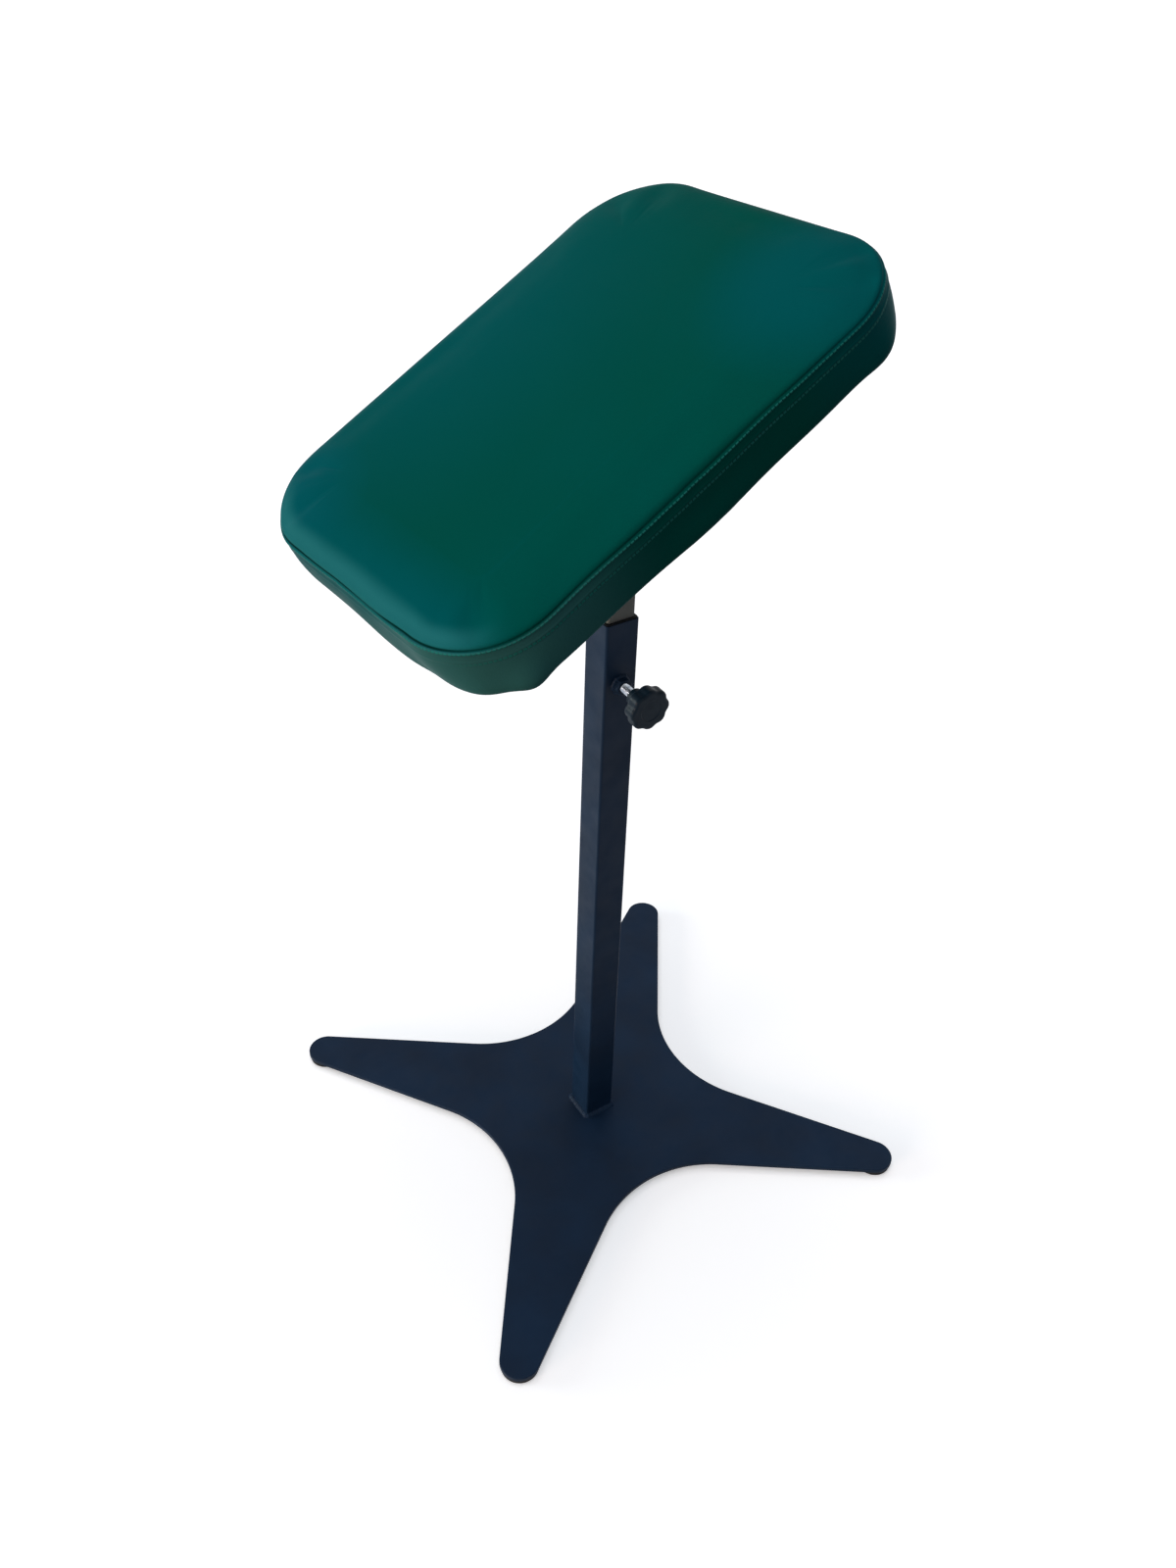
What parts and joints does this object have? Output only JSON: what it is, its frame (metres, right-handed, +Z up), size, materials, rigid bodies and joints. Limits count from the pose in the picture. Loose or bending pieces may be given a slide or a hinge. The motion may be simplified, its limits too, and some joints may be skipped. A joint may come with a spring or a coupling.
{
  "type": "tattoo arm rest stand",
  "caption": "Padded arm rest that tilts and turns up or down on a telescopic square post, clamped by lobed knobs, on a flat star-shaped steel foot.",
  "frame": {"origin": "on the floor, on the axis of the square post, midway between the rubber feet", "axes": "+Z up along the post; the post's faces look along X and Y and the foot's arms lie on the diagonals; the pad tilts about Y with its -X end down at rest, and both clamp knobs are on the -Y side"},
  "size_m": [0.4487, 0.4446, 0.8729],
  "materials": {
    "black_powder_coat": "satin",
    "grey_paint": "satin",
    "black_rubber": "matte",
    "black_nylon": "satin",
    "black_knob_plastic": "satin",
    "bright_zinc": "polished",
    "plain_steel": "satin",
    "white_nylon": "satin",
    "birch_plywood": "matte",
    "foam": "matte",
    "green_leatherette": "satin",
    "black_felt": "matte"
  },
  "bodies": {
    "stand": {"base_plate": "black_powder_coat", "rubber_feet": "black_rubber", "outer_tube": "black_powder_coat", "foot_weld": "black_powder_coat", "clamp_nut": "black_powder_coat", "nut_weld": "black_powder_coat", "guide_bush": "black_nylon"},
    "mast": {"inner_tube": "grey_paint", "glide_plug": "black_nylon", "tube_cap": "black_nylon", "pivot_sleeve": "plain_steel"},
    "height_screw": {"height_stud": "bright_zinc"},
    "height_grip": {"height_knob": "black_knob_plastic"},
    "pad": {"tilt_fork": "black_powder_coat", "bracket_plate": "black_powder_coat", "fork_weld": "black_powder_coat", "tilt_bolt": "bright_zinc", "pivot_washers": "white_nylon", "clamp_washer": "bright_zinc", "bracket_screws": "bright_zinc", "screw_washers": "bright_zinc", "tee_nuts": "bright_zinc", "pad_board": "birch_plywood", "foam_core": "foam", "top_panel": "green_leatherette", "side_band": "green_leatherette", "dust_cloth": "black_felt", "staples": "bright_zinc"},
    "tilt_screw": {"tilt_insert": "bright_zinc"},
    "tilt_grip": {"tilt_knob": "black_knob_plastic"}
  },
  "joints": [
    {"name": "height_slide", "type": "slide", "parent": "stand", "child": "mast", "axis": [0, 0, 1], "range_m": [-0.1, 0.25]},
    {"name": "pad_tilt", "type": "hinge", "parent": "mast", "child": "pad", "pos_m": [0, 0, 0.718], "axis": [0, -1, 0], "range_deg": [-118.4, 61.6]},
    {"name": "height_clamp_travel", "type": "slide", "parent": "stand", "child": "height_screw", "axis": [0, -1, 0], "range_m": [0, 0.0018]},
    {"name": "height_knob_turn", "type": "hinge", "parent": "height_screw", "child": "height_grip", "pos_m": [0, -0.046, 0.535], "axis": [0, -1, 0], "range_deg": [0, 540]},
    {"name": "tilt_clamp_travel", "type": "slide", "parent": "pad", "child": "tilt_screw", "axis": [0, -1, 0], "range_m": [0, 0.0018]},
    {"name": "tilt_knob_turn", "type": "hinge", "parent": "tilt_screw", "child": "tilt_grip", "pos_m": [0, -0.03, 0.718], "axis": [0, -1, 0], "range_deg": [0, 540]}
  ],
  "couplings": [
    {"joint": "height_knob_turn", "follows": "height_clamp_travel", "rad_per_m": 5026.5},
    {"joint": "tilt_knob_turn", "follows": "tilt_clamp_travel", "rad_per_m": 5026.5}
  ]
}
